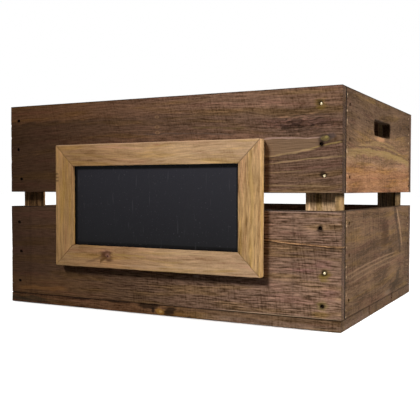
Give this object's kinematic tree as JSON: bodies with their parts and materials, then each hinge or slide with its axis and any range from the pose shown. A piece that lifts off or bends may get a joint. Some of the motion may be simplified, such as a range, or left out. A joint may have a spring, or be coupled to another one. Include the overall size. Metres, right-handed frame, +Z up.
{
  "type": "wooden apple crate",
  "caption": "Slatted apple crate of dark stained planks on corner posts, with hand holes in the ends and a framed chalkboard on the front.",
  "frame": {"origin": "middle of the crate's underside, on the middle base board, where the crate stands", "axes": "+Z up, +X along the crate's length to its right end as seen from the chalkboard's side, -Y out of the front wall that carries the chalkboard"},
  "size_m": [0.5, 0.3835, 0.285],
  "materials": {
    "stained_plank": "rough-sawn softwood, dark walnut stain, matt",
    "post": "sawn softwood batten, thin walnut stain, matt",
    "base_board": "rough-sawn softwood, dark walnut stain, matt",
    "frame": "planed pine, light oak stain, satin",
    "chalkboard": "hardboard with matt black chalkboard paint",
    "nail": "brassed wire nail, tarnished",
    "screw": "yellow zinc"
  },
  "bodies": {
    "root": {"front_upper_plank": "stained_plank", "front_lower_plank": "stained_plank", "back_upper_plank": "stained_plank", "back_lower_plank": "stained_plank", "left_end_upper_plank": "stained_plank", "left_end_lower_plank": "stained_plank", "right_end_upper_plank": "stained_plank", "right_end_lower_plank": "stained_plank", "front_left_post": "post", "front_right_post": "post", "back_left_post": "post", "back_right_post": "post", "front_base_board": "base_board", "middle_base_board": "base_board", "back_base_board": "base_board", "frame_top_rail": "frame", "frame_bottom_rail": "frame", "frame_left_stile": "frame", "frame_right_stile": "frame", "chalkboard_panel": "chalkboard", "front_nail_left_1": "nail", "front_nail_left_2": "nail", "front_nail_left_3": "nail", "front_nail_left_4": "nail", "front_nail_left_5": "nail", "front_nail_left_6": "nail", "front_nail_right_1": "nail", "front_nail_right_2": "nail", "front_nail_right_3": "nail", "front_nail_right_4": "nail", "front_nail_right_5": "nail", "front_nail_right_6": "nail", "back_nail_left_1": "nail", "back_nail_left_2": "nail", "back_nail_left_3": "nail", "back_nail_left_4": "nail", "back_nail_left_5": "nail", "back_nail_left_6": "nail", "back_nail_right_1": "nail", "back_nail_right_2": "nail", "back_nail_right_3": "nail", "back_nail_right_4": "nail", "back_nail_right_5": "nail", "back_nail_right_6": "nail", "base_nail_front_left_1": "nail", "base_nail_front_left_2": "nail", "base_nail_front_right_1": "nail", "base_nail_front_right_2": "nail", "base_nail_middle_left_1": "nail", "base_nail_middle_left_2": "nail", "base_nail_middle_right_1": "nail", "base_nail_middle_right_2": "nail", "base_nail_back_left_1": "nail", "base_nail_back_left_2": "nail", "base_nail_back_right_1": "nail", "base_nail_back_right_2": "nail", "frame_screw_top_left": "screw", "frame_screw_top_right": "screw", "frame_screw_bottom_left": "screw", "frame_screw_bottom_right": "screw"}
  },
  "joints": []
}
